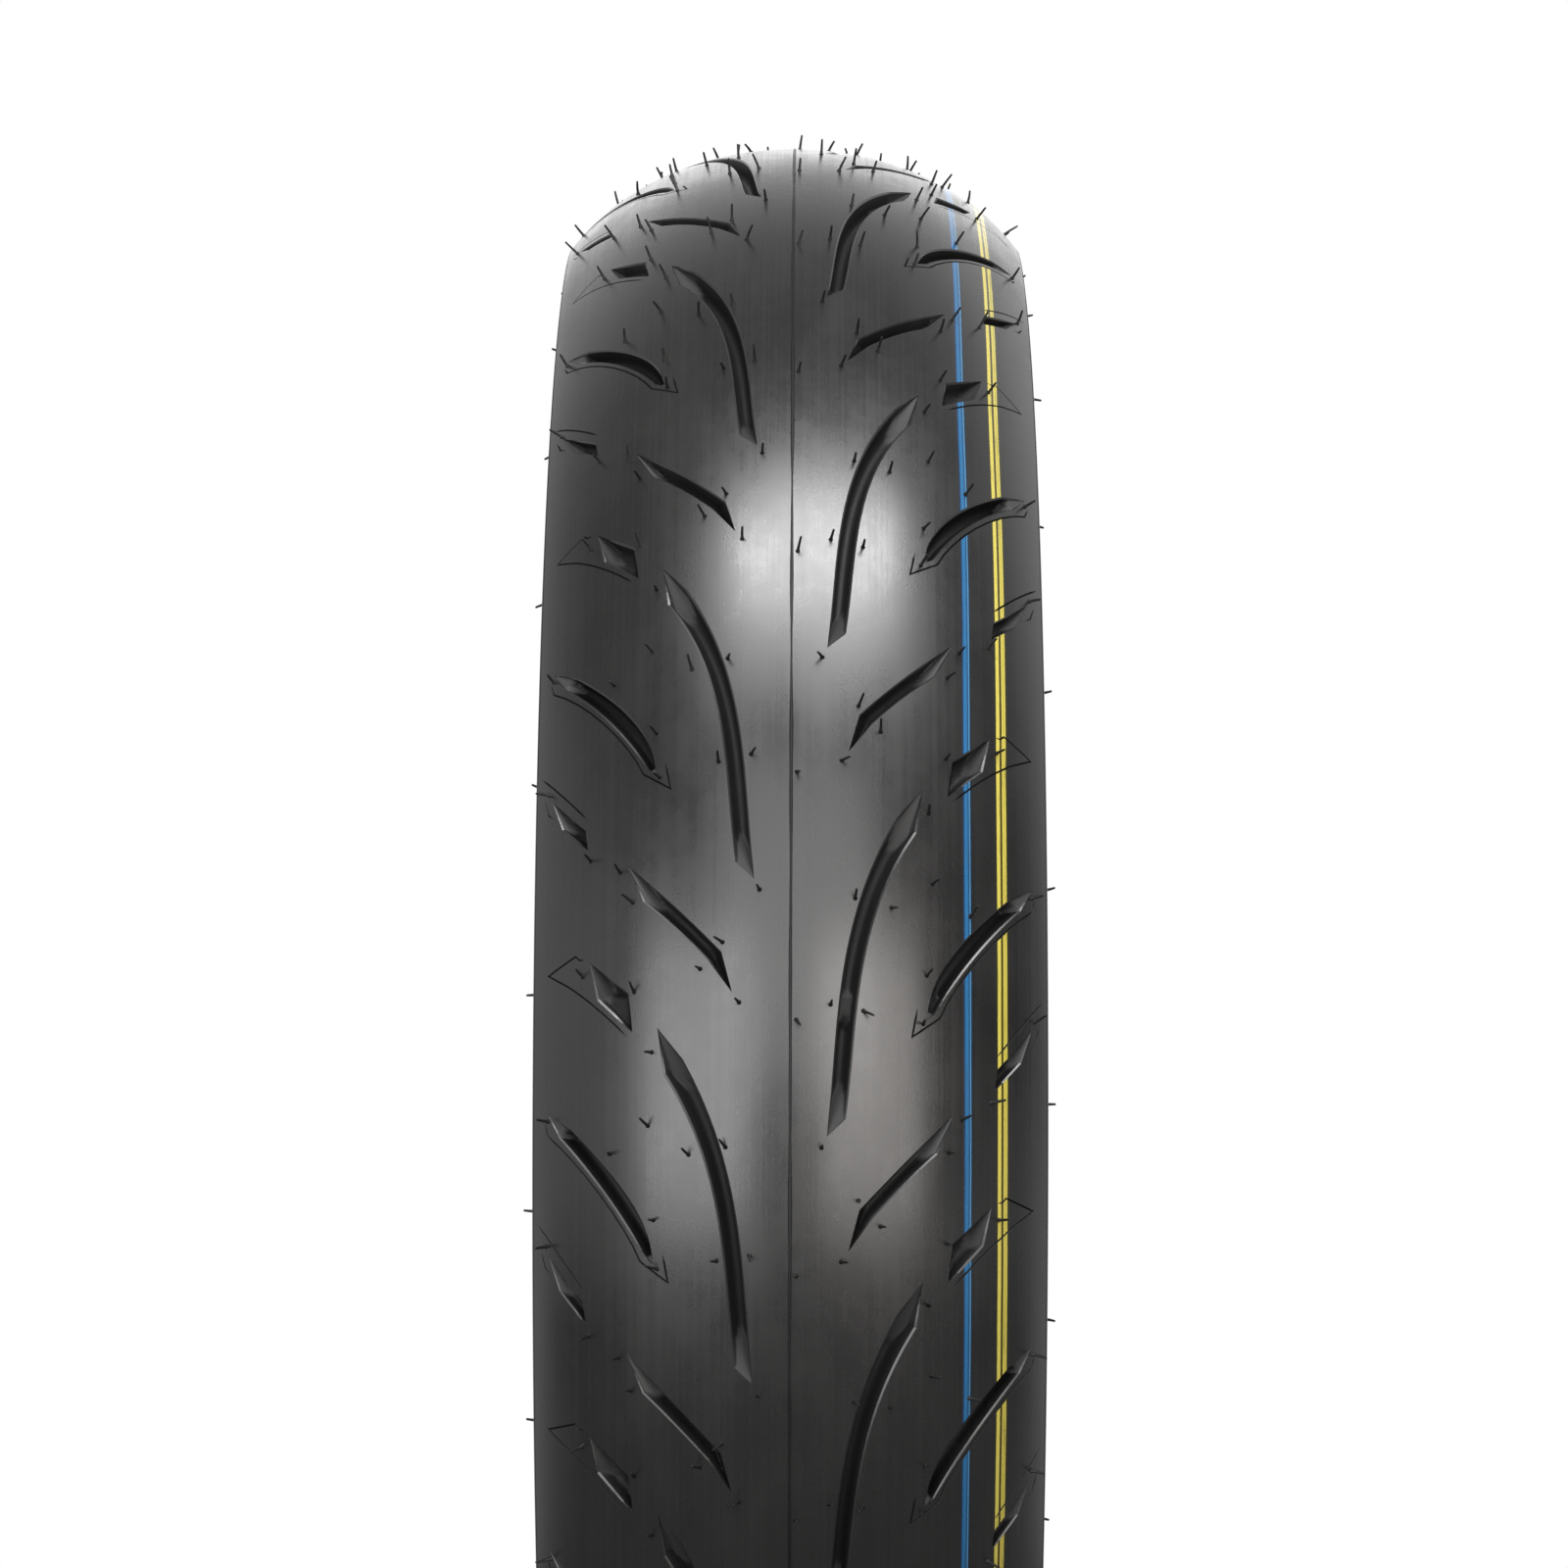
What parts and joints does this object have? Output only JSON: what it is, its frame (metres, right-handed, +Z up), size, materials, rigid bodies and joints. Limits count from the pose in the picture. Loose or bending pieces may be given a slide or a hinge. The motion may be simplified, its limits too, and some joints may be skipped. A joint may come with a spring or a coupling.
{
  "type": "motorcycle tyre",
  "caption": "Rear motorcycle tyre off its wheel: round-profile tread with curved diagonal grooves, bare sidewalls, belts, carcass plies, liner and wire beads.",
  "frame": {"origin": "wheel centre, on the axle line midway between the beads", "axes": "+Y along the axle to the tyre's right side, +Z up, +X towards the picture's camera"},
  "size_m": [0.6418, 0.1474, 0.6418],
  "materials": {
    "tread_rubber": "satin dark grey rubber",
    "base_rubber": "matt rubber",
    "belt_cord": "rubbered cord",
    "ply_cord": "rubbered cord",
    "liner_rubber": "smooth rubber",
    "sidewall_rubber": "satin rubber",
    "chafer_rubber": "satin rubber",
    "bead_wire": "bronze-coated steel wire",
    "filler_rubber": "hard matt rubber"
  },
  "bodies": {
    "root": {"tread_cap": "tread_rubber", "tread_base": "base_rubber", "outer_belt": "belt_cord", "inner_belt": "belt_cord", "left_shoulder_cushion": "base_rubber", "right_shoulder_cushion": "base_rubber", "outer_carcass_ply": "ply_cord", "inner_carcass_ply": "ply_cord", "inner_liner": "liner_rubber", "left_sidewall": "sidewall_rubber", "right_sidewall": "sidewall_rubber", "left_chafer": "chafer_rubber", "right_chafer": "chafer_rubber", "left_bead_core": "bead_wire", "right_bead_core": "bead_wire", "left_bead_filler": "filler_rubber", "right_bead_filler": "filler_rubber"}
  },
  "joints": []
}
